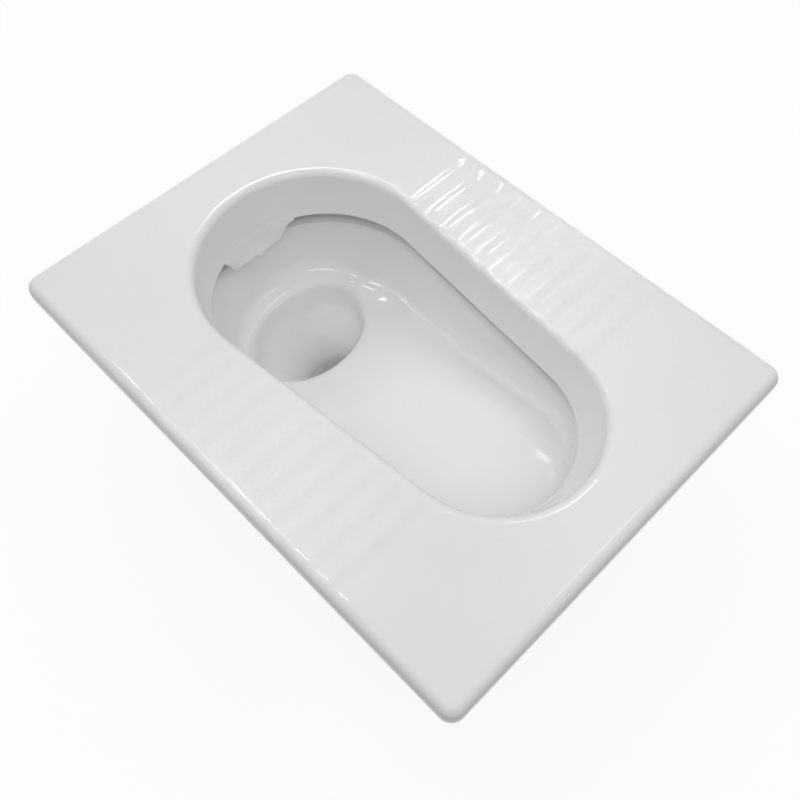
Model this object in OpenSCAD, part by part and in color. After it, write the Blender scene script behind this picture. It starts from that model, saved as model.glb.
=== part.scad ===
// Squat toilet pan, set flush in a floor: a corrugated foot plate with a drawn-down rim band,
// an open flush channel behind the band, a sloping basin, a drain well and an outlet spigot.
// Origin: centre of the spigot's lower end. +X runs to the front of the pan, +Z up. Millimetres.

/* [Foot plate] */
// Length of the plate, rear to front
plate_l = 600; // [592:2:680]
// Width of the plate, side to side
plate_w = 454; // [430:2:520]
// Thickness of the plate
plate_t = 12; // [10:0.5:14]
// Height of the turned-down skirt, from the plate's top face
skirt_h = 21; // [18:0.5:26]
// Wall of the skirt
skirt_t = 10; // [8:0.5:12]
// Rounding of the plate's top edge
edge_r = 11; // [6:0.5:12]
// Corner radius of the plate in plan
corner_r = 14; // [13:0.5:30]
// Distance of the outlet's axis from the plate's rear edge
outlet_in = 212; // [204:1:220]

/* [Treads] */
// Distance from groove to groove
tread_pitch = 25.7; // [20:0.1:28]
// Grooves on each side of the opening
tread_count = 11; // [7:1:12]
// Depth of the grooves
tread_depth = 1.6; // [1:0.1:3]
// Middle of the grooves ahead of the plate's centre
tread_ahead = 33; // [20:1:40]
// Distance over which a groove fades out at the plate's side
tread_fade = 13; // [8:1:20]

/* [Opening] */
// Radius of the opening's rear end
rear_r = 127; // [120:1:135]
// Width of the plate behind the opening
rear_rim = 63; // [61:1:70]
// Radius of the opening's front end
front_r = 105; // [95:1:112]
// Width of the plate ahead of the opening
front_rim = 57; // [56:1:75]
// Rounding of the opening's edge
lip_r = 9; // [6:0.5:10]

/* [Rim band] */
// Wall of the band
band_t = 9; // [7:0.5:10]
// Depth of the band's lower edge below the plate's top
band_drop = 57; // [52:1:62]
// Inward slant of the band along the sides
draw_side = 9; // [7:1:13]
// Inward slant of the band at the front
draw_front = 26; // [20:1:30]
// Inward slant of the band at the rear
draw_rear = 14; // [11:1:18]

/* [Basin] */
// Wall of the basin
basin_t = 10; // [8:0.5:12]
// Flush channel's outer wall, outside the opening's edge
channel_out = 26; // [22:1:28]
// Slot between the band's lower edge and the basin
slot_gap = 7; // [5:0.5:9]
// Depth of the basin's crest under the slot, at the front
crest_front = 77; // [73:1:82]
// Depth of the basin's crest under the slot, at the rear
crest_rear = 80; // [78:1:86]
// Depth of the floor's edge at the front
floor_front = 92; // [88:1:98]
// Depth of the floor's edge at the rear
floor_rear = 146; // [138:1:150]
// Inward run of the wall from the crest to the floor's edge, along the sides
foot_side = 20; // [14:1:26]
// Inward run of the wall from the crest to the floor's edge, at the front
foot_front = 20; // [14:1:26]
// Inward run of the wall from the crest to the floor's edge, at the rear
foot_rear = 34; // [28:1:38]

/* [Drain well and outlet] */
// Distance of the middle of the well's mouth behind the outlet's axis
well_back = 51; // [44:1:56]
// Depth of the well's mouth
well_depth = 158; // [154:1:164]
// Half length of the well's mouth
well_rx = 45; // [42:1:50]
// Half width of the well's mouth
well_ry = 72; // [66:1:76]
// Rise of the well's mouth towards its rear
well_rise = 16; // [8:1:18]
// Depth of the well's upper part, below its mouth
well_drop = 16; // [14:1:20]
// Radius of the outlet's bore
bore_r = 42; // [38:0.5:44]
// Outside radius of the outlet spigot
spigot_r = 51; // [49:0.5:54]
// Height of the whole pan
pan_h = 280; // [274:1:300]
// Length of the outlet spigot, up to the well's throat
spigot_l = 55; // [50:1:60]
// Length of the spigot left free below its seal
spigot_free = 38; // [30:1:40]
// Stand-out of the outlet seal's lips
seal_lip = 5; // [3:0.5:7]

/* [Flush inlet] */
// Outside radius of the inlet horn
horn_r = 27; // [25:0.5:29]
// Radius of the horn's bore
horn_bore_r = 22.5; // [20:0.5:23]
// Clearance between the horn and the skirt above it
horn_gap = 1; // [0.5:0.5:4]
// Distance of the horn's end inside the plate's rear edge
horn_inset = 4; // [4:1:8]
// Radius of the flush pipe that the rubber sleeve takes
pipe_r = 16; // [14:0.5:18]
// Thickness of the rubber sleeve's collar
collar_t = 3; // [2:0.5:4]
// Depth of the rubber sleeve inside the horn
sleeve_in = 22; // [16:1:24]

/* [Flush spreader] */
// Reach of the spreader flap to its square end
flap_square = 44; // [38:1:48]
// Reach of the spreader flap to its swept end
flap_swept = 52; // [46:1:56]
// Height of the flap below the band
flap_h = 25; // [16:1:28]
// Forward lean of the flap over its height
flap_lean = 8; // [5:1:12]
// Wall of the flap
flap_t = 7; // [5:0.5:8]
// Width over which the flap's swept end comes up
flap_sweep = 21; // [14:1:30]
// Width over which the flap's square end comes up
flap_round = 12; // [8:1:16]

/* [Hidden] */
$fn = 96;

glaze = [0.93, 0.93, 0.92];
bisque = [0.86, 0.85, 0.82];
black_rubber = [0.1, 0.1, 0.11];

// columns of the lofted shells: along each side, and round each half end
side_cols = 9;
end_cols = 11;
tread_steps = 6;
plate_end_cols = 12;
corner_cols = 3;

// along the pan: where the grooves start and end
tread_len = tread_pitch * tread_count;
tread_rear = tread_ahead - tread_len / 2;
tread_front = tread_ahead + tread_len / 2;

// ends of the opening and the outlet's axis, from the plate's centre
rear_end = plate_l / 2 - rear_rim;
front_end = plate_l / 2 - front_rim;
outlet_back = plate_l / 2 - outlet_in;
throat_depth = pan_h - spigot_l;
// the spigot is a little thicker above its free length, where the seal grips it
root_r = spigot_r + 0.6;

// depth of the horn's axis, and of the channel's floor at its outer wall
horn_depth = skirt_h + horn_gap + horn_r;
chamber_low = horn_depth + horn_bore_r / 2;
channel_fall = 24;
channel_low_front = crest_front - channel_fall;
channel_round = 11;
crest_round = 4;

// ---- plan outlines --------------------------------------------------------------------
// An outline is a stadium with two unlike ends, [rear x, rear radius, front x, front radius].
// inset() draws it in by a side, a front and a rear amount; negative amounts let it out.
function inset(s) = [s[2] - rear_end, rear_r - s[0], front_end - s[1], front_r - s[0]];
function rear_c(o) = o[0] + o[1];
function front_c(o) = o[2] - o[3];
function taper(o) = asin((o[1] - o[3]) / (front_c(o) - rear_c(o)));

// half width of an outline at x
function half_w(o, x) =
    let (a = taper(o), xr = rear_c(o), xf = front_c(o))
    x < xr + o[1] * sin(a) ? sqrt(max(0, o[1] * o[1] - (x - xr) * (x - xr)))
    : x > xf + o[3] * sin(a) ? sqrt(max(0, o[3] * o[3] - (x - xf) * (x - xf)))
    : (o[1] - (x - xr) * sin(a)) / cos(a);

// point of an outline on a ray from the centre of its front or rear arc
function ray_front(o, f) =
    let (n = 90 - taper(o), r = f > n ? o[3] / cos(f - n) : o[3])
    [front_c(o) + r * cos(f), r * sin(f)];
function ray_rear(o, f) =
    let (n = 90 - taper(o), r = f < n ? o[1] / cos(f - n) : o[1])
    [rear_c(o) + r * cos(f), r * sin(f)];

// half of an outline, front to rear, with side columns at even steps from x1 to x0
function half_ring(o, x0, x1, sides, ends) =
    let (ff = atan2(half_w(o, x1), x1 - front_c(o)), fr = atan2(half_w(o, x0), x0 - rear_c(o)))
    concat(
        [for (k = [0 : ends - 1]) ray_front(o, ff * k / ends)],
        [for (k = [0 : sides]) let (x = x1 + (x0 - x1) * k / sides) [x, half_w(o, x)]],
        [for (k = [1 : ends]) k == ends ? [o[0], 0] : ray_rear(o, fr + (180 - fr) * k / ends)]);

// the other half is its mirror image
function whole(half) =
    concat(half, [for (k = [len(half) - 2 : -1 : 1]) [half[k][0], -half[k][1]]]);

// outline of a shell's ring, with side columns between the centres of its arcs
function ring(s) =
    let (o = inset(s))
    whole(half_ring(o, rear_c(o), front_c(o), side_cols, end_cols));

// height along the pan, from a front value to a rear one
function along(front, rear, x) =
    front + (rear - front) * min(1, max(0, (front_end - x) / (front_end + rear_end)));
function at_depth(ring2, front, rear) =
    [for (p = ring2) [p[0], p[1], -along(front, rear, p[0])]];
function smooth(t) = let (s = min(1, max(0, t))) s * s * (3 - 2 * s);

// ---- shells ---------------------------------------------------------------------------
// closed shell whose section is a loop of rings, each with the same number of points;
// of two shells that meet at a seam, one is turned so that their faces split alike there
module ring_solid(rings, turned = false) {
    n = len(rings[0]);
    m = len(rings);
    points = [for (r = rings) for (p = r) p];
    faces = [for (i = [0 : m - 1], j = [0 : n - 1])
        let (k = (j + 1) % n, next = (i + 1) % m * n,
             a = i * n + j, b = i * n + k, c = next + k, d = next + j)
        each turned ? [[a, d, b], [b, d, c]] : [[a, c, b], [a, d, c]]];
    polyhedron(points, faces, convexity = 12);
}

// solid filled up between the first and the last of a stack of rings
module stack_solid(rings) {
    n = len(rings[0]);
    m = len(rings);
    points = [for (r = rings) for (p = r) p];
    walls = [for (i = [0 : m - 2], j = [0 : n - 1])
        let (a = i * n + j, b = i * n + (j + 1) % n, c = (i + 1) * n + (j + 1) % n, d = (i + 1) * n + j)
        each [[a, b, c], [a, c, d]]];
    caps = [[for (j = [n - 1 : -1 : 0]) j], [for (j = [0 : n - 1]) (m - 1) * n + j]];
    polyhedron(points, concat(walls, caps), convexity = 12);
}

// ring i of a shell moved out so that it lies t away from the faces on both sides of it
function unit(v) = v / norm(v);
function thicken(rings, i, t) =
    let (n = len(rings[i]))
    [for (j = [0 : n - 1])
        let (p = rings[i][j], run = unit(p - rings[i - 1][j]) + unit(rings[i + 1][j] - p),
             round = rings[i][(j + 1) % n] - rings[i][(j + n - 1) % n])
        p + t * 2 / norm(run) * unit(cross(run, round))];

// move from plate coordinates (centre of the top face) to the pan's origin
module in_place() {
    translate([outlet_back, 0, pan_h]) children();
}

// ---- foot plate -----------------------------------------------------------------------
// half of the plate's outline drawn in by e, with columns that answer half_ring's
function half_plate(e) =
    let (r = max(corner_r - e, 1), px = plate_l / 2 - e, py = plate_w / 2 - e,
         ends = plate_end_cols - corner_cols - 2, sides = tread_count * tread_steps,
         front = concat(
             [for (k = [0 : ends]) [px, (py - r) * k / ends]],
             [for (k = [1 : corner_cols])
                 let (f = 90 * k / corner_cols) [px - r + r * cos(f), py - r + r * sin(f)]],
             [[(px - r + tread_front) / 2, py]]),
         rear = concat(
             [[(r - px + tread_rear) / 2, py]],
             [for (k = [0 : corner_cols])
                 let (f = 90 + 90 * k / corner_cols) [r - px + r * cos(f), py - r + r * sin(f)]],
             [for (k = [ends - 1 : -1 : 0]) [-px, (py - r) * k / ends]]))
    concat(front, [for (k = [0 : sides]) [tread_front - tread_len * k / sides, py]], rear);

function plate_ring(e) = whole(half_plate(e));
function opening_ring(s) =
    whole(half_ring(inset(s), tread_rear, tread_front, tread_count * tread_steps, plate_end_cols));

// corrugation: smooth grooves whose crests stay level with the plate
function tread(x) =
    x < tread_rear || x > tread_front ? 0
    : tread_depth * (1 - cos(360 * (x - tread_rear) / tread_pitch)) / 2;
function lower(ring2, depth, share) =
    [for (p = ring2) [p[0], p[1], -depth - share * tread(p[0])]];

// slanted face of the band, as inward amounts [side, front, rear] at a depth
draws = [draw_side, draw_front, draw_rear];
lip_out = lip_r / 2;
lip_turn = 78;
lip_end = lip_r * sin(lip_turn) - lip_out;
lip_low = lip_r * (1 - cos(lip_turn));
function lip_at(f) = lip_r * sin(f) - lip_out;
function band_at(depth) =
    [for (d = draws) lip_end + (d - lip_end) * (depth - lip_low) / (band_drop - lip_low)];
function even(v) = [v, v, v];

module foot_plate() {
    edge = [30, 60, 90];
    lip = [0.25, 0.5, 0.75, 1];
    color(glaze) in_place()
    ring_solid(concat(
        [lower(plate_ring(skirt_t), skirt_h, 0)],
        [lower(plate_ring(0), skirt_h, 0)],
        [lower(plate_ring(0), edge_r, 0)],
        [for (f = edge) lower(plate_ring(edge_r * (1 - cos(f))), edge_r * (1 - sin(f)), f / 180)],
        [lower(plate_ring(edge_r + tread_fade), 0, 1)],
        [lower(opening_ring(even(-lip_out - tread_fade / 2)), 0, 1)],
        [lower(opening_ring(even(-lip_out)), 0, 0.7)],
        [for (k = lip) let (f = lip_turn * k)
            lower(opening_ring(even(lip_at(f))), lip_r * (1 - cos(f)), 0.7 * (1 - k))],
        [lower(opening_ring(band_at(plate_t)), plate_t, 0)],
        [lower(plate_ring(skirt_t), plate_t, 0)]));
}

// ---- rim band -------------------------------------------------------------------------
// slanted band under the opening's edge; its lower edge hangs free over the basin
module rim_band() {
    outer = even(band_t);
    nose_r = band_t / 3;
    function level(s, depth) = at_depth(ring(s), depth, depth);
    color(glaze) in_place()
    ring_solid(concat(
        [level(band_at(plate_t), plate_t)],
        [for (f = [0, 45, 90])
            level(band_at(band_drop) - even(nose_r * (1 - cos(f))), band_drop - nose_r * (1 - sin(f)))],
        [level(band_at(band_drop) - outer, band_drop)],
        [level(band_at(plate_t) - outer, plate_t)]));
}

// ---- flush channel and basin -----------------------------------------------------------
crest = draws - even(slot_gap);
foot = crest + [foot_side, foot_front, foot_rear];

// flush channel: straight outer wall, rounded corner, floor falling to the crest
channel = even(-channel_out);
channel_rings = concat(
    [at_depth(ring(channel), plate_t, plate_t)],
    [for (f = [0, 45, 90])
        let (run = channel_round * (1 - cos(f)), fall = channel_round * sin(f))
        at_depth(ring(channel + even(run)), channel_low_front + fall, chamber_low + fall)],
    [at_depth(ring(crest - even(crest_round)), crest_front - crest_round, crest_rear - crest_round)]);

// rise towards the rear of the well's mouth, and the share of it at the floor's edge
edge_rise = 0.65;
function rise_at(x) = well_rise * smooth((-outlet_back - well_back - x) / well_rx);

// wall from the crest to the floor's edge: a quarter ellipse, steep at the top and more slanted
// at the rear; the floor's edge eases down from the front of the opening to the outlet
rear_slant = 0.3;
function wall_run(f) =
    let (c = 1 - cos(f), share = [c, c, c + rear_slant * (sin(f) - c)])
    [for (k = [0 : 2]) crest[k] + (foot[k] - crest[k]) * share[k]];
function floor_edge_at(x) =
    floor_front + (floor_rear - floor_front) * smooth((front_end - x) / (front_end + outlet_back))
    - edge_rise * rise_at(x);
wall_rings = [for (f = [10, 32, 55, 90])
    [for (p = ring(wall_run(f)))
        let (top = along(crest_front, crest_rear, p[0]))
        [p[0], p[1], -top - (floor_edge_at(p[0]) - top) * sin(f)]]];

// mouth of the well: an ellipse whose points fan out to the floor's edge
floor_edge = wall_rings[len(wall_rings) - 1];
function fan(j) =
    let (n = len(floor_edge), p = floor_edge[j], even_turn = 360 * j / n,
         seen = atan2(p[1], p[0] + outlet_back + well_back), turn = seen < 0 ? seen + 360 : seen)
    (even_turn + turn) / 2;
function well_ring(behind, rx, ry, depth, rise) =
    [for (j = [0 : len(floor_edge) - 1])
        let (x = rx * cos(fan(j)), y = ry * sin(fan(j)))
        [x - outlet_back - behind, y, rise * rise_at(x - outlet_back - well_back) - depth]];
mouth = well_ring(well_back, well_rx, well_ry, well_depth, 1);

// floor between its edge and the well's mouth, falling faster near the well
floor_fall = 1.7;
floor_rings = [for (t = [0.25, 0.5, 0.75, 1])
    [for (j = [0 : len(mouth) - 1])
        let (a = floor_edge[j], b = mouth[j])
        [a[0] + (b[0] - a[0]) * t, a[1] + (b[1] - a[1]) * t, a[2] + (b[2] - a[2]) * pow(t, floor_fall)]]];

// well's wall at a share of the way from its mouth forward and down to the throat
function funnel(share, wall) =
    let (s = smooth(share))
    well_ring(well_back * (1 - s), well_rx + wall + (bore_r - well_rx) * s,
              well_ry + wall + (bore_r - well_ry) * s, well_depth + (throat_depth - well_depth) * share,
              1 - s);
seam_share = well_drop / (throat_depth - well_depth);

// one skin from the plate down to the well, cut into three shells at the channel's last ring
// and at the floor's edge
skin = concat(channel_rings, wall_rings, floor_rings, [funnel(seam_share, 0)]);
wall_top = len(channel_rings) - 1;
wall_foot = wall_top + len(wall_rings);
function outside(rings) = [for (i = rings) thicken(skin, i, basin_t)];
function backward(v) = [for (i = [len(v) - 1 : -1 : 0]) v[i]];
channel_outside = concat(
    [at_depth(ring(channel - even(basin_t)), plate_t, plate_t)],
    [at_depth(ring(channel - even(basin_t)), channel_low_front, chamber_low)],
    outside([2 : wall_top]));
// the outer face skips the rings that lie closer together than the wall is thick
wall_outside = outside([wall_top, wall_top + 2, wall_top + 3, wall_foot]);
floor_outside = concat(outside([wall_foot, wall_foot + 2, wall_foot + 4]), [funnel(seam_share, basin_t)]);

module flush_channel() {
    color(glaze) in_place()
    difference() {
        ring_solid(concat(channel_rings, backward(channel_outside)));
        inlet_way(-rear_end - channel_out + basin_t);
    }
}

// wall of the basin, from the channel's last ring to the floor's edge
module basin() {
    inside = [for (i = [wall_top : wall_foot]) skin[i]];
    color(glaze) in_place()
    ring_solid(concat(inside, backward(wall_outside)), turned = true);
}

// floor of the basin, from its edge over the well's mouth to the well's upper part
module basin_floor() {
    inside = [for (i = [wall_foot : len(skin) - 1]) skin[i]];
    color(glaze) in_place()
    ring_solid(concat(inside, backward(floor_outside)));
}

// bore along the inlet's axis, from behind the plate to x_in
module inlet_way(x_in) {
    translate([-plate_l / 2 - 1, 0, -horn_depth]) rotate([0, 90, 0])
        cylinder(r = horn_bore_r, h = x_in + plate_l / 2 + 1);
}

// ---- drain well and outlet ------------------------------------------------------------
module drain_well() {
    shares = [for (k = [0 : 4]) seam_share + (1 - seam_share) * k / 4];
    wall_end = root_r - bore_r;
    function wall(share) = basin_t + (wall_end - basin_t) * (share - seam_share) / (1 - seam_share);
    color(glaze) in_place()
    ring_solid(concat([for (s = shares) funnel(s, 0)],
                      [for (k = [4 : -1 : 0]) funnel(shares[k], wall(shares[k]))]), turned = true);
}

module outlet_spigot() {
    rim = 2;
    color(bisque)
    rotate_extrude()
    polygon([[bore_r + rim, 0], [spigot_r, 0], [spigot_r, spigot_free], [root_r, spigot_free],
             [root_r, spigot_l], [bore_r, spigot_l], [bore_r, 2 * rim]]);
}

// rubber ring stretched on the spigot's root, with two lips
module outlet_seal() {
    top = spigot_l - 1;
    lip_t = (top - spigot_free) / 4;
    web_r = root_r + 2;
    lip_end_r = root_r + seal_lip;
    color(black_rubber)
    rotate_extrude()
    polygon(concat(
        [[root_r, spigot_free], [web_r, spigot_free]],
        [for (low = [spigot_free, spigot_free + 2 * lip_t]) each
            [[web_r, low + lip_t / 2], [lip_end_r, low],
             [lip_end_r, low + lip_t], [web_r, low + 1.5 * lip_t]]],
        [[web_r, top], [root_r, top]]));
}

// ---- flush inlet ----------------------------------------------------------------------
horn_end = -plate_l / 2 + horn_inset;

// tube luted to the rear of the flush channel, its inner end cut to the channel's wall
module inlet_horn() {
    color(bisque) in_place()
    difference() {
        translate([horn_end, 0, -horn_depth]) rotate([0, 90, 0])
            cylinder(r = horn_r, h = -rear_end - horn_end);
        inlet_way(0);
        stack_solid(concat(channel_outside, [for (i = [1 : len(wall_outside) - 1]) wall_outside[i]]));
    }
}

// rubber sleeve pressed into the horn; the flush pipe pushes into it
module inlet_sleeve() {
    color(black_rubber) in_place()
    translate([horn_end, 0, -horn_depth]) rotate([0, 90, 0])
    rotate_extrude()
    polygon([[pipe_r, -collar_t], [horn_r, -collar_t], [horn_r, 0], [horn_bore_r, 0],
             [horn_bore_r, sleeve_in - 4], [horn_bore_r - 2, sleeve_in], [pipe_r, sleeve_in]]);
}

// ---- flush spreader -------------------------------------------------------------------
// flap under the rear of the band: its foot straight, one end square, the other swept up
module flush_spreader() {
    low = inset(band_at(band_drop));
    steps = 24;
    end_h = 4;
    function height(y) = end_h + (flap_h - end_h) * smooth((flap_swept - y) / flap_sweep)
        * smooth((y + flap_square) / flap_round);
    function face_x(y) = rear_c(low) - sqrt(low[1] * low[1] - y * y) - 2;
    edge_x = face_x(0) + flap_lean;
    // section at y: back top, back foot, rounded foot, front foot, front belly, front top
    function section(y) =
        let (h = height(y), x = face_x(y), lean = (edge_x - x) * h / flap_h, z = -band_drop)
        [[x - flap_t, y, z], [x - flap_t + lean, y, z - 0.94 * h], [x - flap_t / 2 + lean, y, z - h],
         [x + lean, y, z - 0.92 * h], [x + lean * 0.35, y, z - 0.5 * h], [x, y, z]];
    color(glaze) in_place()
    stack_solid([for (k = [0 : steps]) section(-flap_square + (flap_swept + flap_square) * k / steps)]);
}

foot_plate();
rim_band();
flush_channel();
basin();
basin_floor();
drain_well();
outlet_spigot();
flush_spreader();
inlet_horn();
inlet_sleeve();
outlet_seal();
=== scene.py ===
"""Looks of the squat toilet pan. One seamless glazed skin stands for the ceramic solids of the
pan, and detailed pieces stand for the flap, the inlet horn and the two rubber parts. Lengths are
millimetres in the plate's own frame (x and y from the centre of its top, z up from it) until a
mesh is made."""

import math

import bpy
import numpy as np
from mathutils import Matrix, Vector


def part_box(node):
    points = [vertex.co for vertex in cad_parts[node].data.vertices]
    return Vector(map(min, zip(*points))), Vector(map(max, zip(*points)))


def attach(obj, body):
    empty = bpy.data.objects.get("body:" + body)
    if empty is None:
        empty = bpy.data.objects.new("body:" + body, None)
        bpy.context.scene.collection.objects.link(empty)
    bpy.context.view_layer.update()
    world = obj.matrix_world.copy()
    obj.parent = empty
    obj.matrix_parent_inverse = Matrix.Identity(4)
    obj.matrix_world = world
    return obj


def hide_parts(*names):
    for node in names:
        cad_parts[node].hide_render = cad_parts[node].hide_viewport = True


MM = 0.001

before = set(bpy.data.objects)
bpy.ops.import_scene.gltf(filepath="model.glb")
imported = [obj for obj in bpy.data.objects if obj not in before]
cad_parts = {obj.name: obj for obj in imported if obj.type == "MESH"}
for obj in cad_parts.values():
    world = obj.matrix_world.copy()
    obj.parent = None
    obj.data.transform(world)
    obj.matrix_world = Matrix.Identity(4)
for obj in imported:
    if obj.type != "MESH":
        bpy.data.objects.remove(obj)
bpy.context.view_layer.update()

# ---- sizes -----------------------------------------------------------------------------------
plate_low, plate_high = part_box("foot_plate")
band_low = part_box("rim_band")[0]
ORIGIN = Vector(((plate_low.x + plate_high.x) / 2, 0, plate_high.z))
PLATE_L = (plate_high.x - plate_low.x) / MM
PLATE_W = (plate_high.y - plate_low.y) / MM
SKIRT_H = (plate_high.z - plate_low.z) / MM
PAN_H = ORIGIN.z / MM

PLATE_T = 12
SKIRT_T = 10
EDGE_R = 11
CORNER_R = 14
SKIRT_FOOT_R = 1.5
SIDE_DEPTHS = (17, 14)

# grooves across both sides of the plate: their middle lies ahead of the plate's, and within a
# fade of the plate's edge and of the lip they are down to these shares of their depth
TREAD_PITCH = 25.7
TREAD_COUNT = 11
TREAD_DEPTH = 1.6
TREAD_AHEAD = 33
TREAD_FADE = 13
TREAD_EDGE, TREAD_LIP = 0.5, 0.7
TREAD_REAR = TREAD_AHEAD - TREAD_PITCH * TREAD_COUNT / 2
TREAD_FRONT = TREAD_AHEAD + TREAD_PITCH * TREAD_COUNT / 2

# opening of the plate: two arcs joined by straight sides; the band is drawn in from it by amounts,
# which are [side, front, rear] here and below, and has a few rings up its back
REAR_R = 127
FRONT_R = 105
REAR_END = PLATE_L / 2 - 63
FRONT_END = PLATE_L / 2 - 57
LIP_R = 9
LIP_OUT = LIP_R / 2
LIP_TURN = math.radians(78)
LIP_END = LIP_R * math.sin(LIP_TURN) - LIP_OUT
LIP_LOW = LIP_R * (1 - math.cos(LIP_TURN))
BAND_T = 9
BAND_DROP = (plate_high.z - band_low.z) / MM
BAND_BACK = 5
DRAWS = np.array([9.0, 26.0, 14.0])

# flush channel and basin; their depths are [front, rear], and the basin's wall is a quarter
# ellipse that starts past the crest, at an angle in degrees
CHANNEL_OUT = 26
SLOT_GAP = 7
BASIN_T = 10
CREST = DRAWS - SLOT_GAP
FOOT = CREST + np.array([20.0, 20.0, 34.0])
REAR_SLANT = 0.3
CREST_DEPTH = (77, 80)
FLOOR_DEPTH = (92, 146)
CHANNEL_ROUND = 11
CHANNEL_DIP = 2
CREST_ROUND = 4
WALL_START = 8

# the well's mouth lies back from the outlet's axis, which is the origin of the frame; the mouth
# rises towards the rear, and the floor's edge takes a share of that rise
WELL_BACK = 51
WELL_X = -ORIGIN.x / MM - WELL_BACK
WELL_DEPTH = 158
WELL_RX = 45
WELL_RY = 72
WELL_RISE, EDGE_RISE = 16, 0.65
WELL_DROP = 16
SPIGOT_L = 55
THROAT_DEPTH = PAN_H - SPIGOT_L
BORE_R = 42
BORE_BEVEL = 2
SPIGOT_R = 51
SPIGOT_FREE = 38
ROOT_R = 51.6
SEAL_WEB, SEAL_LIP = 2, 5

# tube for the flush water, whose top lies a drop below the skirt's foot and whose end lies an
# inset from the plate's rear edge, with the hole pierced for it, and its sleeve
HORN_R = 27
HORN_BORE_R = 22.5
HORN_DROP = 1
HORN_DEPTH = SKIRT_H + HORN_DROP + HORN_R
HORN_INSET = 4
HORN_END = HORN_INSET - PLATE_L / 2
PIERCE_CLEAR, PIERCE_IN = 0.5, 6
PIPE_R = 16
COLLAR_T = 3
SLEEVE_IN = 22
# where the channel's outer wall ends and its rounded corner starts, at the front and at the rear
CHANNEL_LOW = (
    CREST_DEPTH[0] - CREST_ROUND + CHANNEL_DIP - CHANNEL_ROUND,
    HORN_DEPTH + HORN_BORE_R / 2,
)

# flap under the rear of the band, from its square end to its swept end
FLAP_SQUARE = 44
FLAP_SWEPT = 52
FLAP_H = 25
FLAP_T = 7
FLAP_THIN = 4
FLAP_CREASE = 13
FLAP_PROUD, FLAP_SUNK = 0.3, 0.5
FLAP_FOOT_X = -215.5
FLAP_TOP = 9
FLAP_SWEEP = 21
FLAP_ROUND = 12
FLAP_BULGE = 1.2
FLAP_CLOSED = 0.3
# bead of glaze at the flap's foot: its height, its place and spread across the pan, and its place
# and spread round the foot in radians
NIB, NIB_Y, NIB_W, NIB_TURN, NIB_ARC = 3.2, 2.5, 2.2, 5.9, 0.6

# lights: the sky's strength by the sine of its height and its tilt to the rear and the far side,
# the floor's strength, and lamps above the pan, wide ones that light all of it and narrow ones
# that make the glaze's highlights; each lamp has a place (x, y), a point of the pan that it is
# aimed at (x, y), the half width of its beam in degrees, its length along and across the pan, and
# its radiance
SKY_FROM, SKY_TO = 0.0, 0.9
SKY_LOW, SKY_HIGH = 0.26, 0.73
SKY_TILT = (-0.15, 0.1, 0)
BOUNCES = 14
FLOOR_GLOW, FLOOR_LIT, FLOOR_DULL = 0.88, 0.14, 0.02
LAMPS = (
    ((-1090, -250), (0, 0), 60, 150, 350, 10),
    ((-550, -250), (0, 0), 60, 200, 350, 10),
    ((914, -441), (0, 0), 60, 300, 300, 7),
    ((300, 755), (0, 0), 60, 120, 470, 10),
    ((-920, -480), (0, -230), 3.5, 80, 80, 120),
    ((-760, -160), (95, -230), 3, 80, 80, 120),
    ((-1360, -320), (-70, -230), 3, 80, 80, 120),
    ((-400, 720), (60, -105), 4, 70, 70, 80),
    ((-720, 40), (20, 110), 5, 80, 80, 150),
    ((-720, 40), (150, 105), 5, 80, 80, 150),
    ((-960, 1360), (60, 120), 4, 50, 50, 60),
    ((-612, 1257), (-60, 190), 5, 80, 150, 60),
    ((-500, 970), (300, -30), 2.5, 150, 150, 80),
    ((-1150, 750), (-235, 40), 5, 120, 120, 70),
)
LAMP_HEIGHT = 1800
FLOOR_HALF = 6000

# camera fitted on the plate's four corners in the photograph; its turns are in degrees
CAMERA_PLACE = (372.32, -351.07, 718.17)
CAMERA_HEADING, CAMERA_TILT, CAMERA_ROLL = 45.774, 30.707, -0.385
SENSOR_W, LENS = 36, 40.79
CLIP_START = 50

# part of a noise's range over which a colour and a value change
RAMP_FROM, RAMP_TO = 0.35, 0.65
VALUE_FROM, VALUE_TO = 0.3, 0.7

# columns of the skin round each quarter end and along each side, and the coarse ones that the
# basin's floor is ruled by
END_COLS = 48
TREAD_COLS = 18
SIDE_COLS = TREAD_COUNT * TREAD_COLS
RULE_ENDS = 11
RULE_SIDE = 9


# ---- plan outlines ---------------------------------------------------------------------------
def inset(amounts):
    """The opening's outline drawn in by amounts, as rear x, rear r, front x and front r."""
    side, front, rear = amounts
    return rear - REAR_END, REAR_R - side, FRONT_END - front, FRONT_R - side


def arcs(outline):
    """Centres of an outline's rear and front arcs, and the taper of the sides between them."""
    rear_x, rear_r, front_x, front_r = outline
    xr, xf = rear_x + rear_r, front_x - front_r
    return xr, xf, math.asin((rear_r - front_r) / (xf - xr))


def half_width(outline, x):
    """Half width of an outline at x, an array."""
    _, rear_r, _, front_r = outline
    xr, xf, taper = arcs(outline)
    rear = np.sqrt(np.maximum(0, rear_r**2 - (x - xr) ** 2))
    front = np.sqrt(np.maximum(0, front_r**2 - (x - xf) ** 2))
    side = (rear_r - (x - xr) * math.sin(taper)) / math.cos(taper)
    at_rear = x < xr + rear_r * math.sin(taper)
    at_front = x > xf + front_r * math.sin(taper)
    return np.where(at_rear, rear, np.where(at_front, front, side))


def end_points(outline, angles, front):
    """Points of an outline on rays from the centre of its front or rear arc."""
    _, rear_r, _, front_r = outline
    xr, xf, taper = arcs(outline)
    tangent = math.pi / 2 - taper
    centre, r = (xf, front_r) if front else (xr, rear_r)
    past = angles > tangent if front else angles < tangent
    reach = np.where(past, r / np.cos(np.where(past, angles - tangent, 0)), r)
    return np.stack([centre + reach * np.cos(angles), reach * np.sin(angles)], 1)


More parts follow.
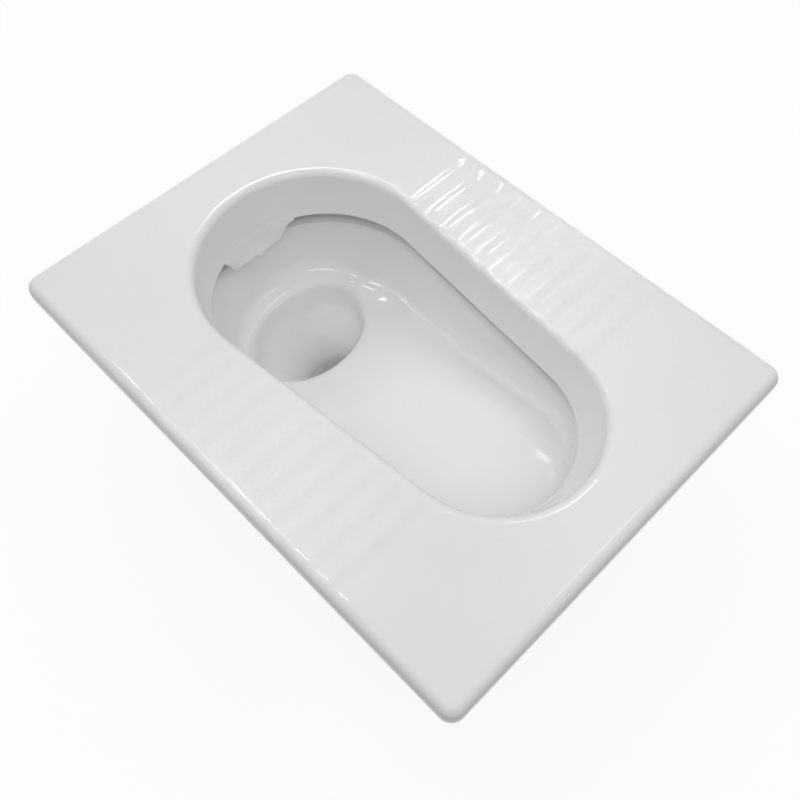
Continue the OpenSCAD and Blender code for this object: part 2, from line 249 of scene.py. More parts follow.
def mirrored(half):
    """A whole ring from its half at +y, front to rear."""
    return np.concatenate([half, half[-2:0:-1] * [1, -1]])


def opening_ring(amounts, tread_share=1.0):
    """Ring of the opening's outline. Its side columns run the length of the treads, or at a
    tread_share of 0 from arc centre to arc centre."""
    o = inset(amounts)
    rear_c, front_c, _ = arcs(o)
    x1 = front_c + (TREAD_FRONT - front_c) * tread_share
    x0 = rear_c + (TREAD_REAR - rear_c) * tread_share
    turn_front = math.atan2(half_width(o, np.array(x1)), x1 - front_c)
    turn_rear = math.atan2(half_width(o, np.array(x0)), x0 - rear_c)
    x = np.linspace(x1, x0, SIDE_COLS + 1)
    return mirrored(
        np.concatenate(
            [
                end_points(o, np.linspace(0, turn_front, END_COLS, endpoint=False), True),
                np.stack([x, half_width(o, x)], 1),
                end_points(o, np.linspace(turn_rear, math.pi, END_COLS + 1)[1:], False),
            ]
        )
    )


def plate_ring(e):
    """Ring of the plate's outline drawn in by e, with columns that answer opening_ring's."""
    r = max(CORNER_R - e, 1)
    px, py = PLATE_L / 2 - e, PLATE_W / 2 - e
    corner, edge = 12, 24
    run = END_COLS - corner - edge
    turn = np.linspace(0, math.pi / 2, corner + 1)
    side_x = np.linspace(TREAD_FRONT, TREAD_REAR, SIDE_COLS + 1)

    def quarter(x_to, sign):
        """Columns from the middle of an end to the treads' end at x_to."""
        y = np.linspace(0, py - r, edge, endpoint=False)
        x = np.linspace(sign * (px - r), x_to, run + 1)[1:-1]
        return np.concatenate(
            [
                np.stack([np.full(edge, sign * px), y], 1),
                np.stack([sign * (px - r + r * np.cos(turn)), py - r + r * np.sin(turn)], 1),
                np.stack([x, np.full(len(x), py)], 1),
            ]
        )

    return mirrored(
        np.concatenate(
            [
                quarter(TREAD_FRONT, 1),
                np.stack([side_x, np.full(len(side_x), py)], 1),
                quarter(TREAD_REAR, -1)[::-1],
            ]
        )
    )


def even(value):
    """The same amount at the sides, the front and the rear."""
    return np.array([value, value, value], float)


def along(values, x):
    """A depth that goes from its front value to its rear value along the opening."""
    front, rear = values
    return front + (rear - front) * np.clip((FRONT_END - x) / (FRONT_END + REAR_END), 0, 1)


def at(ring, depth):
    """Ring with its depth below the plate's top, a number or an array."""
    return np.concatenate([ring, -np.broadcast_to(depth, len(ring))[:, None]], 1)


def tread(x):
    """Depth of the grooves at x."""
    inside = (x > TREAD_REAR) & (x < TREAD_FRONT)
    wave = (1 - np.cos(2 * np.pi * (x - TREAD_REAR) / TREAD_PITCH)) / 2
    return np.where(inside, TREAD_DEPTH * wave, 0)


def grooved(ring, depth, share):
    """Ring at a depth, with a share of the grooves added."""
    return at(ring, depth + share * tread(ring[:, 0]))


def smooth(t):
    """Eases from 0 to 1."""
    t = np.clip(t, 0, 1)
    return t * t * (3 - 2 * t)


# ---- skin of the pan -------------------------------------------------------------------------
def plate_rings():
    """From the skirt's foot up its side, over the plate and down the rim band's face."""
    rings = []
    for f in np.linspace(math.pi / 2, 0, 4):
        ring = plate_ring(SKIRT_FOOT_R * (1 - math.cos(f)))
        rings.append(at(ring, SKIRT_H - SKIRT_FOOT_R * (1 - math.sin(f))))
    rings += [at(plate_ring(0), depth) for depth in SIDE_DEPTHS]
    for k in np.linspace(0, 1, 9):
        f = k * math.pi / 2
        ring = plate_ring(EDGE_R * (1 - math.cos(f)))
        rings.append(grooved(ring, EDGE_R * (1 - math.sin(f)), TREAD_EDGE * k))
    outer, lip = plate_ring(EDGE_R), opening_ring(even(-LIP_OUT))
    span = np.linalg.norm(outer - lip, axis=1)
    for u in smooth(np.linspace(0, 1, 18))[1:-1]:
        ring = outer + (lip - outer) * u
        share = TREAD_EDGE + (1 - TREAD_EDGE) * smooth(span * u / TREAD_FADE)
        near_lip = smooth(span * (1 - u) / (TREAD_FADE / 2))
        rings.append(grooved(ring, 0, share * (TREAD_LIP + (1 - TREAD_LIP) * near_lip)))
    for k in np.linspace(0, 1, 10):
        f = LIP_TURN * k
        ring = opening_ring(even(LIP_R * math.sin(f) - LIP_OUT))
        rings.append(grooved(ring, LIP_R * (1 - math.cos(f)), TREAD_LIP * (1 - smooth(k))))
    return rings


def band_at(depth):
    """Inward amounts of the band's slanted face at a depth."""
    return LIP_END + (DRAWS - LIP_END) * (depth - LIP_LOW) / (BAND_DROP - LIP_LOW)


def band_rings():
    """Band's face, rounded lower edge and back, up to the plate's underside. On the way up the
    back its columns leave the treads' run."""
    nose = BAND_T / 3
    on_nose, on_back = 0.9, 0.5
    rings = [
        at(opening_ring(band_at(d)), d) for d in np.linspace(LIP_LOW, BAND_DROP - nose, 9)[1:]
    ]
    for f in np.linspace(0, math.pi / 2, 6)[1:]:
        amounts = DRAWS - nose * (1 - math.cos(f))
        rings.append(at(opening_ring(amounts), BAND_DROP - nose * (1 - math.sin(f))))
    for f in np.linspace(0, math.pi / 2, 4):
        amounts = DRAWS - BAND_T + nose * (1 - math.sin(f))
        rings.append(at(opening_ring(amounts, on_nose), BAND_DROP - nose * (1 - math.cos(f))))
    for d in np.linspace(BAND_DROP - nose, PLATE_T, BAND_BACK + 1)[1:]:
        rings.append(at(opening_ring(band_at(d) - BAND_T, on_back), d))
    return rings


def channel_rings():
    """Flush channel behind the band: outer wall, rounded corner and floor up to the crest."""
    outer = even(-CHANNEL_OUT)
    ring = opening_ring(outer, 0)
    low = along(CHANNEL_LOW, ring[:, 0])
    rings = [at(ring, PLATE_T + (low - PLATE_T) * k) for k in np.linspace(0, 1, 5)]
    for f in np.linspace(0, math.pi / 2, 7)[1:]:
        ring = opening_ring(outer + CHANNEL_ROUND * (1 - math.cos(f)), 0)
        rings.append(at(ring, along(CHANNEL_LOW, ring[:, 0]) + CHANNEL_ROUND * math.sin(f)))
    ring = opening_ring(CREST - CREST_ROUND, 0)
    end = at(ring, along(CREST_DEPTH, ring[:, 0]) - CREST_ROUND)
    rings += [rings[-1] + (end - rings[-1]) * k for k in np.linspace(0, 1, 7)[1:]]
    return rings


def rise_at(x):
    """Rise towards the rear of the well's mouth."""
    return WELL_RISE * smooth((WELL_X - x) / WELL_RX)


def floor_edge_at(x):
    """Depth of the floor's edge: it eases down from the opening's front to the outlet, and comes
    up a little at the rear."""
    front, rear = FLOOR_DEPTH
    outlet_x = WELL_X + WELL_BACK
    fall = smooth((FRONT_END - x) / (FRONT_END - outlet_x))
    return front + (rear - front) * fall - EDGE_RISE * rise_at(x)


def wall_rings(turns):
    """Basin's wall from the crest to the floor's edge, at turns along a quarter ellipse that is
    more slanted at the rear."""
    rings = []
    for f in turns:
        share = even(1 - math.cos(f))
        share[2] += REAR_SLANT * (math.sin(f) - share[2])
        ring = opening_ring(CREST + (FOOT - CREST) * share, 0)
        crest, floor = along(CREST_DEPTH, ring[:, 0]), floor_edge_at(ring[:, 0])
        rings.append(at(ring, crest + (floor - crest) * math.sin(f)))
    return rings


def fan(edge):
    """Angle round the well's mouth that answers each column of the floor's edge."""
    half = END_COLS * 2 + SIDE_COLS + 1
    knots = [0, END_COLS, END_COLS + SIDE_COLS, half - 1]
    coarse = [0, RULE_ENDS, RULE_ENDS + RULE_SIDE, 2 * RULE_ENDS + RULE_SIDE]
    ruled = np.interp(np.arange(half), knots, coarse) * math.pi / coarse[-1]
    seen = np.arctan2(edge[:half, 1], edge[:half, 0] - WELL_X)
    seen[-1] = math.pi
    turn = (ruled + seen) / 2
    return np.concatenate([turn, -turn[-2:0:-1]])


def well_ring(turn, ahead, rx, ry, depth, rise=0.0):
    """Ellipse whose middle lies ahead of the middle of the well's mouth."""
    x, y = rx * np.cos(turn), ry * np.sin(turn)
    return at(np.stack([WELL_X + ahead + x, y], 1), depth - rise * rise_at(WELL_X + x))


def floor_rings(edge, mouth, steps):
    """Basin's floor from its edge to the well's mouth, falling faster near the well."""
    fall = 1.7
    rings = []
    for t in np.linspace(0, 1, steps + 1)[1:]:
        ring = edge + (mouth - edge) * t
        ring[:, 2] = edge[:, 2] + (mouth[:, 2] - edge[:, 2]) * t**fall
        rings.append(ring)
    return rings


def funnel(turn, share, wall=0):
    """Ring of the well, or of its outside a wall away, at a share of the way from its mouth
    forward and down to the throat."""
    s = smooth(share)
    rx = WELL_RX + (BORE_R - WELL_RX) * s + wall
    ry = WELL_RY + (BORE_R - WELL_RY) * s + wall
    depth = WELL_DEPTH + (THROAT_DEPTH - WELL_DEPTH) * share
    return well_ring(turn, WELL_BACK * s, rx, ry, depth, rise=1 - s)


def relax(rings, middle, reach, passes, weight):
    """Rounds the section, in place, over the rings within reach of a middle one."""
    first, last = middle - reach, middle + reach + 1
    for _ in range(passes):
        mean = (rings[first - 1 : last - 1] + rings[first + 1 : last + 1]) / 2
        rings[first:last] += (mean - rings[first:last]) * weight


def inside_rings():
    """Inside from the plate's underside to the spigot's lower end, the angles of its columns
    round the well's mouth, and the place of its first ring past the crest."""
    rings = channel_rings()
    crest_at = len(rings)
    rings += wall_rings(np.radians(np.linspace(WALL_START, 90, 16)))
    edge_at = len(rings) - 1
    edge = rings[-1]
    turn = fan(edge)
    rings += floor_rings(edge, funnel(turn, 0), steps=25)
    mouth_at = len(rings) - 1
    rings += [funnel(turn, s) for s in np.linspace(0, 1, 18)[1:]]
    for depth in np.linspace(THROAT_DEPTH, PAN_H - BORE_BEVEL, 5)[1:]:
        rings.append(well_ring(turn, WELL_BACK, BORE_R, BORE_R, depth))
    end_r = BORE_R + BORE_BEVEL
    rings.append(well_ring(turn, WELL_BACK, end_r, end_r, PAN_H))
    rings = np.array(rings)
    relax(rings, crest_at, reach=2, passes=3, weight=0.6)
    relax(rings, edge_at, reach=2, passes=4, weight=0.6)
    relax(rings, mouth_at, reach=3, passes=6, weight=0.7)
    return rings, turn, crest_at


def unit(vectors):
    """Vectors scaled to a length of 1."""
    return vectors / np.linalg.norm(vectors, axis=1)[:, None]


def outward(rings, i, wall):
    """Ring i moved out so that it lies a wall away from the faces on both sides of it."""
    run = unit(rings[i] - rings[i - 1]) + unit(rings[i + 1] - rings[i])
    around = np.roll(rings[i], -1, 0) - np.roll(rings[i], 1, 0)
    reach = wall * 2 / np.linalg.norm(run, axis=1)
    return rings[i] + reach[:, None] * unit(np.cross(run, around))


def rounded(rings, times=2):
    """Cuts the corners of a section's rings, but keeps its first and last."""
    for _ in range(times):
        low, high = rings[:-1], rings[1:]
        cut = np.stack([low * 0.75 + high * 0.25, low * 0.25 + high * 0.75], 1)
        cut = cut.reshape(-1, *rings.shape[1:])
        rings = np.concatenate([rings[:1], cut[1:-1], rings[-1:]])
    return rings


def outside_rings(turn):
    """Raw outside, from the spigot's lower end up to the skirt's foot. Its shell follows a coarse
    copy of the inside, a wall away, with its corners rounded."""
    ring = opening_ring(even(-CHANNEL_OUT), 0)
    inside = [at(ring, PLATE_T)]
    for f in (0, math.pi / 4, math.pi / 2):
        ring = opening_ring(even(-CHANNEL_OUT) + CHANNEL_ROUND * (1 - math.cos(f)), 0)
        inside.append(at(ring, along(CHANNEL_LOW, ring[:, 0]) + CHANNEL_ROUND * math.sin(f)))
    ring = opening_ring(CREST - CREST_ROUND, 0)
    inside.append(at(ring, along(CREST_DEPTH, ring[:, 0]) - CREST_ROUND))
    inside += wall_rings(np.radians([10, 32, 55, 90]))
    inside += floor_rings(inside[-1], funnel(turn, 0), steps=4)
    seam = WELL_DROP / (THROAT_DEPTH - WELL_DEPTH)
    inside.append(funnel(turn, seam))
    inside = np.array(inside)

    ring = opening_ring(even(-CHANNEL_OUT - BASIN_T), 0)
    shell = [at(ring, PLATE_T), at(ring, along(CHANNEL_LOW, ring[:, 0]))]
    followed = (2, 3, 4, 6, 7, 8, 10, 12)
    shell += [outward(inside, i, BASIN_T) for i in followed]
    for s in np.linspace(seam, 1, 4):
        wall = BASIN_T + (ROOT_R - BORE_R - BASIN_T) * (s - seam) / (1 - seam)
        shell.append(funnel(turn, s, wall))
    shell = rounded(np.array(shell))[::-1]
    bevel, step, shoulder = 0.8, 0.5, 2
    spigot = [
        well_ring(turn, WELL_BACK, r, r, depth)
        for r, depth in (
            (SPIGOT_R - bevel, PAN_H),
            (SPIGOT_R, PAN_H - bevel),
            (SPIGOT_R, PAN_H - SPIGOT_FREE + step),
            (ROOT_R, PAN_H - SPIGOT_FREE - step),
            (ROOT_R, THROAT_DEPTH + shoulder),
        )
    ]
    fillet, edge = 3, 1
    skirt = [
        at(plate_ring(e), depth)
        for e, depth in (
            (SKIRT_T + fillet, PLATE_T),
            (SKIRT_T, PLATE_T + fillet),
            (SKIRT_T, SKIRT_H - edge),
            (SKIRT_T - edge, SKIRT_H),
            (2 * SKIRT_FOOT_R, SKIRT_H),
        )
    ]
    return spigot + list(shell) + skirt


def to_metres(points):
    """Points of the plate's frame in the part's own."""
    return points * MM + np.array(ORIGIN)


def mesh_object(name, points, faces, materials, slots=None):
    """Smooth-shaded object in the scene; slots gives each face's place in materials."""
    mesh = bpy.data.meshes.new(name)
    mesh.from_pydata([tuple(p) for p in points], [], faces)
    for material in materials:
        mesh.materials.append(material)
    mesh.polygons.foreach_set("use_smooth", np.ones(len(faces), bool))
    if slots is not None:
        mesh.polygons.foreach_set("material_index", slots)
    mesh.update()
    made = bpy.data.objects.new(name, mesh)
    bpy.context.scene.collection.objects.link(made)
    return made


def torus_faces(m, n):
    """Quads of a closed section of m rings with n columns each."""
    i, j = np.meshgrid(np.arange(m), np.arange(n), indexing="ij")
    i, j = i.ravel(), j.ravel()
    i1, j1 = (i + 1) % m, (j + 1) % n
    return np.stack([i * n + j, i1 * n + j, i1 * n + j1, i * n + j1], 1)


def pan_skin(glaze, bare_and_shade):
    """The whole ceramic as one closed skin, pierced along the flush inlet's axis. Its outside is
    bare;
    the band's back and the flush channel up to the crest get the bare colour too, as painted
    shade."""
    top = plate_rings() + band_rings()
    inside, turn, crest_at = inside_rings()
    rings = np.array(top + list(inside) + outside_rings(turn))
    m, n = rings.shape[:2]
    faces = torus_faces(m, n)
    ring = faces[:, 0] // n
    # the band's back and the flush channel take the darker bare colour as painted shade in the
    # slot
    painted_shade_in_channel = (ring >= len(top) - BAND_BACK - 1) & (ring < len(top) + crest_at - 1)
    outside = ring >= len(top) + len(inside) - 1
    slots = (painted_shade_in_channel | outside).astype(np.int32)
    points = to_metres(rings.reshape(-1, 3))
    skin = mesh_object("Pan_ceramic", points, faces.tolist(), [glaze, bare_and_shade], slots)
    pierce(skin, HORN_BORE_R - PIERCE_CLEAR, HORN_END, -REAR_END - PIERCE_IN)
    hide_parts("foot_plate", "rim_band", "flush_channel", "basin", "basin_floor")
    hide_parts("drain_well", "outlet_spigot")
    return skin


def revolved(name, profile, material, along_x=False, columns=96):
    """Closed ring turned from a section of (radius, height) points, about the outlet's axis,
    or with along_x about the flush inlet's, where height is x."""
    r, h = np.array(profile, float).T
    f = np.linspace(0, 2 * np.pi, columns, endpoint=False)
    across, up = np.outer(r, np.cos(f)), np.outer(r, np.sin(f))
    height = np.repeat(h[:, None], columns, 1)
    if along_x:
        points = np.stack([height, across, up - HORN_DEPTH], 2)
    else:
        points = np.stack([across + WELL_X + WELL_BACK, up, height - PAN_H], 2)
    faces = torus_faces(len(r), columns)
    if not along_x:
        faces = faces[:, ::-1]
    return mesh_object(name, to_metres(points.reshape(-1, 3)), faces.tolist(), [material])


def pierce(skin, radius, x0, x1):
    """Cuts a round hole through a mesh along the flush inlet's axis."""
    cutter = revolved_rod(radius, x0, x1)
    cut = skin.modifiers.new("Inlet", "BOOLEAN")
    cut.operation = "DIFFERENCE"
    cut.solver = "EXACT"
    cut.object = cutter
    view = bpy.context.evaluated_depsgraph_get()
    old = skin.data
    skin.data = bpy.data.meshes.new_from_object(skin.evaluated_get(view))
    skin.modifiers.clear()
    bpy.data.meshes.remove(old)
    bpy.data.objects.remove(cutter)


def revolved_rod(radius, x0, x1, columns=64):
    """Closed rod on the flush inlet's axis."""
    f = np.linspace(0, 2 * np.pi, columns, endpoint=False)
    ring = np.stack([radius * np.cos(f), radius * np.sin(f) - HORN_DEPTH], 1)
    points = [(x, y, z) for x in (x0, x1) for y, z in ring]
    faces = [tuple(range(columns))[::-1], tuple(range(columns, 2 * columns))]
    for i in range(columns):
        j = (i + 1) % columns
        faces.append((i, j, columns + j, columns + i))
    return mesh_object("Rod", to_metres(np.array(points)), faces, [])


def arc(r, h, radius, start, end, steps=4):
    """Points of a section on an arc about (r, h), its angles in degrees."""
    f = np.radians(np.linspace(start, end, steps + 1))
    return [(r + radius * math.cos(a), h + radius * math.sin(a)) for a in f]


def inlet_horn(bare_and_shade):
    """Tube with a rolled end, sunk into the channel's rear wall."""
    root = -REAR_END - CHANNEL_OUT - BASIN_T
    lip, behind_lip, above_root, sunk = 1.2, 8, 3, 4
    profile = arc(HORN_BORE_R + lip, HORN_END + lip, lip, 180, 270)
    profile += arc(HORN_R - lip, HORN_END + lip, lip, 270, 360)
    profile += [(HORN_R, HORN_END + behind_lip), (HORN_R, root - above_root)]
    profile += [(HORN_R, root + sunk), (HORN_BORE_R, root + sunk)]
    profile.append((HORN_BORE_R, HORN_END + behind_lip))
    horn = revolved("Inlet_horn", profile, bare_and_shade, along_x=True)
    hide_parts("inlet_horn")
    return horn


def inlet_sleeve(rubber):
    """Rubber sleeve in the horn: rounded collar, sawtooth ribs in its bore, tapered end."""
    front, back = HORN_END - COLLAR_T, HORN_END + SLEEVE_IN
    collar_r, mouth_r = HORN_R - 0.3, 1
    round_r = COLLAR_T / 2 - 0.1
    taper, taper_l, bevel, bevel_l = 2, 4, 0.6, 1
    grooves, groove, rib = (6, 13), 1.5, 3
    profile = arc(PIPE_R + mouth_r, front + mouth_r, mouth_r, 180, 270)
    profile += arc(collar_r - round_r, front + round_r, round_r, 270, 360)
    profile += [(collar_r, HORN_END), (HORN_BORE_R, HORN_END), (HORN_BORE_R, back - taper_l)]
    profile += [(HORN_BORE_R - taper, back), (PIPE_R + bevel, back), (PIPE_R, back - bevel_l)]
    for inward in grooves:
        profile += [(PIPE_R + groove, back - inward), (PIPE_R, back - inward - rib)]
    sleeve = revolved("Inlet_sleeve", profile, rubber, along_x=True)
    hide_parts("inlet_sleeve")
    return sleeve


def outlet_seal(rubber):
    """Rubber ring stretched on the spigot's root, with two drooping lips."""
    low, top = SPIGOT_FREE, SPIGOT_L - 1
    lip_t = (top - low) / 4
    web, reach = ROOT_R + SEAL_WEB, ROOT_R + SEAL_LIP
    nose, round_r = lip_t * 0.32, 0.8
    profile = [(ROOT_R, low), (web, low)]
    for foot in (low, low + 2 * lip_t):
        profile.append((web, foot + lip_t / 2))
        profile += arc(reach - nose, foot + nose, nose, 270, 360, 3)
        profile += arc(reach - nose, foot + lip_t - nose, nose, 0, 90, 3)
        profile.append((web, foot + 1.5 * lip_t))
    profile += arc(web - round_r, top - round_r, round_r, 0, 90, 3)
    profile.append((ROOT_R, top))
    seal = revolved("Outlet_seal", profile, rubber)
    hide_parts("outlet_seal")
    return seal


def flap_section(y, size):
    """Section of the flap at y, scaled down about its middle by size at the closed ends. Its face
    runs on from the band's face, turns forward at a straight crease and ends in a rounded foot."""
    half = FLAP_T / 2
    swell = smooth((FLAP_SWEPT - y) / FLAP_SWEEP) * smooth((y + FLAP_SQUARE) / FLAP_ROUND)
    height = FLAP_THIN + (FLAP_H - FLAP_THIN) * swell
    chord = 1 - (y / FLAP_SWEPT) ** 2
    crease = min(FLAP_CREASE * max(chord, 0), 0.6 * height)

    def band_face(z):
        rear_x, rear_r = inset(band_at(BAND_DROP + z))[:2]
        return rear_x + rear_r - math.sqrt(rear_r**2 - y**2)

    turn_x = band_face(crease) + FLAP_PROUD
    foot_x = band_face(0) + (FLAP_FOOT_X - band_face(0)) * swell
    reach = foot_x - turn_x
    down = height - half - crease
    top_x = band_face(-FLAP_TOP)
    back_x, out, fall = turn_x - FLAP_T, 0.6, 0.7
    outline = [(top_x - FLAP_SUNK, FLAP_TOP), (top_x - FLAP_T, FLAP_TOP)]
    outline += [(back_x, -crease), (back_x + reach * out, -crease - down * fall)]
    for f in np.radians(np.linspace(190, 350, 11)):
        off = ((y - NIB_Y) / NIB_W) ** 2 + ((f - NIB_TURN) / NIB_ARC) ** 2
        r = half + NIB * math.exp(-off)
        outline.append((foot_x - half + r * math.cos(f), half - height + r * math.sin(f)))
    outline += [(turn_x + reach * k, -crease - down * k) for k in (0.75, 0.5, 0.25, 0.1)]
    outline.append((turn_x + reach * 0.02, -crease))
    outline += [(band_face(-z) + FLAP_PROUD, z) for z in (-crease * 0.8, -crease * 0.4, 0, 3)]
    outline = np.array(outline)
    middle = np.array([(turn_x + foot_x) / 2 - half, -height / 2])
    outline = middle + (outline - middle) * (FLAP_CLOSED + (1 - FLAP_CLOSED) * size)
    return [(x, y, z - BAND_DROP) for x, z in outline]


def flush_flap(glaze):
    """Flap under the rear of the band. Its ends are closed by smaller copies of the last section,
    and its sections are closer together round the bead of glaze."""
    ends = 1 - np.cos(np.radians(np.linspace(8, 90, 6)))
    near = 3
    bead = np.linspace(NIB_Y - near, NIB_Y + near, 25)
    across = np.union1d(np.linspace(-FLAP_SQUARE, FLAP_SWEPT, 80), bead)
    stations = [(-FLAP_SQUARE - FLAP_BULGE * (1 - e), e) for e in ends[:-1]]
    stations += [(y, 1) for y in across]
    stations += [(FLAP_SWEPT + FLAP_BULGE * (1 - e), e) for e in ends[-2::-1]]
    rings = np.array([flap_section(y, size) for y, size in stations])
    m, n = rings.shape[:2]
    faces = [
        (i * n + j, (i + 1) * n + j, (i + 1) * n + (j + 1) % n, i * n + (j + 1) % n)
        for i in range(m - 1)
        for j in range(n)
    ]
    faces += [tuple(range(n)), tuple(range((m - 1) * n, m * n))[::-1]]
    flap = mesh_object("Flush_flap", to_metres(rings.reshape(-1, 3)), faces, [glaze])
    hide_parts("flush_spreader")
    return flap


# ---- materials -------------------------------------------------------------------------------
def new_material(name, base=(0.8, 0.8, 0.8), roughness=0.5):
    """Material, its nodes, its links and its shader, with a plain colour and roughness."""
    material = bpy.data.materials.new(name)
    material.use_nodes = True
    nodes, links = material.node_tree.nodes, material.node_tree.links
    shader = nodes["Principled BSDF"]
    shader.inputs["Base Color"].default_value = (*base, 1)
    shader.inputs["Roughness"].default_value = roughness
    return material, nodes, links, shader


def noise(nodes, links, scale, detail):
    """Noise in the object's own coordinates, in cycles per metre."""
    place = nodes.new("ShaderNodeTexCoord")
    made = nodes.new("ShaderNodeTexNoise")
    made.inputs["Scale"].default_value = scale
    made.inputs["Detail"].default_value = detail
    links.new(place.outputs["Object"], made.inputs["Vector"])
    return made.outputs["Fac"]


def colour_between(nodes, links, factor, low, high):
    """Colour that goes from low to high with a noise."""
    ramp = nodes.new("ShaderNodeValToRGB")
    ends = zip(ramp.color_ramp.elements, (RAMP_FROM, RAMP_TO), (low, high))
    for element, position, colour in ends:
        element.position = position
        element.color = (*colour, 1)
    links.new(factor, ramp.inputs["Fac"])
    return ramp.outputs["Color"]


def map_range(nodes, links, factor, source, target):
    """Node that turns a range of a factor, a low and a high value, into another."""
    span = nodes.new("ShaderNodeMapRange")
    for name, value in zip(("From Min", "From Max", "To Min", "To Max"), (*source, *target)):
        span.inputs[name].default_value = value
    links.new(factor, span.inputs["Value"])
    return span


def value_between(nodes, links, factor, low, high):
    """Value that goes from low to high with a noise."""
    return map_range(nodes, links, factor, (VALUE_FROM, VALUE_TO), (low, high)).outputs["Result"]


def bump(nodes, links, height, distance, under=None):
    """Bump of a height in metres, over another bump."""
    made = nodes.new("ShaderNodeBump")
    made.inputs["Distance"].default_value = distance
    links.new(height, made.inputs["Height"])
    if under is not None:
        links.new(under, made.inputs["Normal"])
    return made.outputs["Normal"]


def glaze_material():
    """Glossy white glaze: faint clouds in its white, slightly wavy, with a fine orange peel."""
    material, nodes, links, shader = new_material("White_glaze", (0.918, 0.919, 0.915), 0.06)
    clouds = noise(nodes, links, scale=9, detail=3)
    colour = colour_between(nodes, links, clouds, (0.91, 0.912, 0.91), (0.925, 0.925, 0.92))
    links.new(colour, shader.inputs["Base Color"])
    patches = noise(nodes, links, scale=30, detail=3)
    gloss = value_between(nodes, links, patches, low=0.04, high=0.08)
    links.new(gloss, shader.inputs["Roughness"])
    waves = bump(nodes, links, noise(nodes, links, scale=26, detail=1), distance=0.0002)
    peel = noise(nodes, links, scale=260, detail=2)
    normal = bump(nodes, links, peel, distance=0.00003, under=waves)
    links.new(normal, shader.inputs["Normal"])
    return material


def bare_and_shade_material():
    """Fired body under a thin matt wash, on the faces that the floor or the band hides. On the
    band's back and in the flush channel its colour, darker than the glaze, is painted shade.
    """
    material, nodes, links, shader = new_material("Bare_ceramic_and_painted_shade", (0.76, 0.75, 0.735), 0.57)
    clouds = noise(nodes, links, scale=14, detail=6)
    colour = colour_between(nodes, links, clouds, (0.72, 0.71, 0.69), (0.8, 0.795, 0.78))
    links.new(colour, shader.inputs["Base Color"])
    dullness = value_between(nodes, links, clouds, low=0.45, high=0.7)
    links.new(dullness, shader.inputs["Roughness"])
    grain = bump(nodes, links, noise(nodes, links, scale=900, detail=4), distance=0.0002)
    dents = noise(nodes, links, scale=40, detail=2)
    normal = bump(nodes, links, dents, distance=0.001, under=grain)
    links.new(normal, shader.inputs["Normal"])
    return material


def rubber_material():
    """Matt black rubber, a little dusty, with a fine moulded grain."""
    material, nodes, links, shader = new_material("Black_rubber", (0.02, 0.02, 0.021), 0.6)
    dust = noise(nodes, links, scale=60, detail=5)
    worn = colour_between(nodes, links, dust, (0.014, 0.014, 0.015), (0.035, 0.034, 0.033))
    links.new(worn, shader.inputs["Base Color"])
    dullness = value_between(nodes, links, dust, low=0.5, high=0.75)
    links.new(dullness, shader.inputs["Roughness"])
    grain = bump(nodes, links, noise(nodes, links, scale=1500, detail=2), distance=0.0001)
    links.new(grain, shader.inputs["Normal"])
    return material


# ---- stage -----------------------------------------------------------------------------------
def seen_directly(nodes, links):
    """1 for what the camera, a reflection or a view through glass sees, 0 for soft light."""
    path = nodes.new("ShaderNodeLightPath")
    seen = path.outputs["Is Camera Ray"]
    for ray in ("Is Glossy Ray", "Is Transmission Ray"):
        either = nodes.new("ShaderNodeMath")
        either.operation = "MAXIMUM"
        links.new(seen, either.inputs[0])
        links.new(path.outputs[ray], either.inputs[1])
        seen = either.outputs[0]
    return seen


def floor_material():
    """Pale floor: white to the camera and to reflections, darker to soft light, and it keeps the
    shadow."""
    material, nodes, links, shader = new_material("Floor")
    glow = nodes.new("ShaderNodeEmission")
    glow.inputs["Color"].default_value = (1, 1, 1, 1)
    glow.inputs["Strength"].default_value = FLOOR_GLOW

    def diffuse(grey):
        made = nodes.new("ShaderNodeBsdfDiffuse")
        made.inputs["Color"].default_value = (grey, grey, grey, 1)
        return made.outputs[0]

    both = nodes.new("ShaderNodeAddShader")
    links.new(glow.outputs[0], both.inputs[0])
    links.new(diffuse(FLOOR_LIT), both.inputs[1])
    mix = nodes.new("ShaderNodeMixShader")
    links.new(seen_directly(nodes, links), mix.inputs[0])
    links.new(diffuse(FLOOR_DULL), mix.inputs[1])
    links.new(both.outputs[0], mix.inputs[2])
    links.new(mix.outputs[0], nodes["Material Output"].inputs["Surface"])
    nodes.remove(shader)
    return material


def add_floor():
    half = FLOOR_HALF * MM
    corners = [(-half, -half, 0), (half, -half, 0), (half, half, 0), (-half, half, 0)]
    floor = mesh_object("Floor", corners, [(0, 1, 2, 3)], [floor_material()])


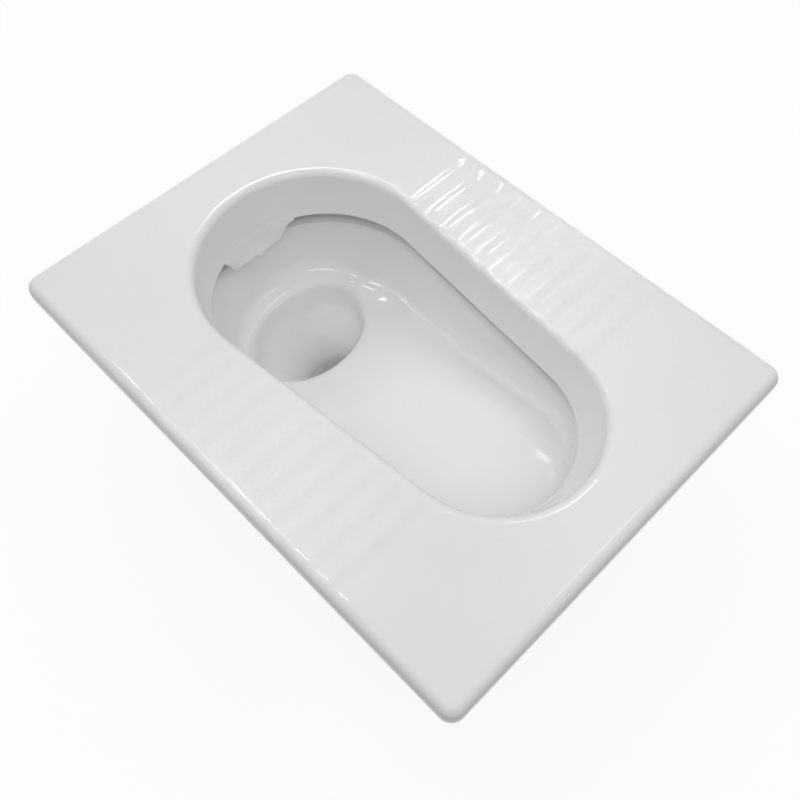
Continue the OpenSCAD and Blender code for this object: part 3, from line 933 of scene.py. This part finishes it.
def add_world():
    """Soft studio sky, brighter overhead than at the sides and on the side that it is tilted to,
    and plain white where the camera or a reflection sees it."""
    world = bpy.data.worlds.new("World")
    bpy.context.scene.world = world
    world.use_nodes = True
    nodes, links = world.node_tree.nodes, world.node_tree.links
    back = nodes["Background"]
    back.inputs["Color"].default_value = (1, 1, 1, 1)
    place = nodes.new("ShaderNodeTexCoord")
    parts = nodes.new("ShaderNodeSeparateXYZ")
    links.new(place.outputs["Generated"], parts.inputs[0])
    heights, levels = (SKY_FROM, SKY_TO), (SKY_LOW, SKY_HIGH)
    sky = map_range(nodes, links, parts.outputs["Z"], heights, levels)
    sky.interpolation_type = "SMOOTHSTEP"
    tilt = nodes.new("ShaderNodeVectorMath")
    tilt.operation = "DOT_PRODUCT"
    tilt.inputs[1].default_value = SKY_TILT
    links.new(place.outputs["Generated"], tilt.inputs[0])
    one_sided = nodes.new("ShaderNodeMath")
    one_sided.operation = "MULTIPLY_ADD"
    links.new(sky.outputs["Result"], one_sided.inputs[0])
    links.new(tilt.outputs["Value"], one_sided.inputs[1])
    links.new(sky.outputs["Result"], one_sided.inputs[2])
    strength = map_range(nodes, links, seen_directly(nodes, links), (0, 1), (0, 1))
    links.new(one_sided.outputs[0], strength.inputs["To Min"])
    links.new(strength.outputs["Result"], back.inputs["Strength"])


def add_lamp(name, place, target, beam, length, width, glare):
    """Rectangular lamp whose light falls off evenly to nothing at its beam's edge."""
    data = bpy.data.lights.new(name, "AREA")
    data.shape = "RECTANGLE"
    data.size, data.size_y = length * MM, width * MM
    half = math.radians(beam)
    data.spread = 2 * half
    share = 1 - half / math.tan(half)
    data.energy = glare * math.pi * data.size * data.size_y * share
    lamp = bpy.data.objects.new(name, data)
    down = (target - place).normalized()
    along_pan = (Vector((1, 0, 0)) - down * down.x).normalized()
    turn = Matrix((along_pan, down.cross(along_pan) * -1, -down)).transposed()
    lamp.matrix_world = Matrix.Translation(place) @ turn.to_4x4()
    bpy.context.scene.collection.objects.link(lamp)


def add_camera():
    """Camera at the photograph's viewpoint."""
    data = bpy.data.cameras.new("Camera")
    data.sensor_fit = "HORIZONTAL"
    data.sensor_width = SENSOR_W
    data.lens = LENS
    data.clip_start = CLIP_START * MM
    camera = bpy.data.objects.new("Camera", data)
    place = Matrix.Translation(ORIGIN + Vector(CAMERA_PLACE) * MM)
    for angle, axis in ((CAMERA_HEADING, "Z"), (CAMERA_TILT, "X"), (CAMERA_ROLL, "Z")):
        place = place @ Matrix.Rotation(math.radians(angle), 4, axis)
    camera.matrix_world = place
    bpy.context.scene.collection.objects.link(camera)
    bpy.context.scene.camera = camera


glaze = glaze_material()
bare_and_shade = bare_and_shade_material()
rubber = rubber_material()
for piece in (
    pan_skin(glaze, bare_and_shade),
    flush_flap(glaze),
    inlet_horn(bare_and_shade),
    inlet_sleeve(rubber),
    outlet_seal(rubber),
):
    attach(piece, "root")

add_floor()
add_world()
for number, (place, target, *shape) in enumerate(LAMPS):
    above = ORIGIN + Vector((*place, LAMP_HEIGHT)) * MM
    add_lamp(f"Lamp_{number}", above, ORIGIN + Vector((*target, 0)) * MM, *shape)
bpy.context.scene.cycles.diffuse_bounces = BOUNCES
bpy.context.scene.cycles.max_bounces = BOUNCES
add_camera()
bpy.context.scene.view_settings.view_transform = "Standard"
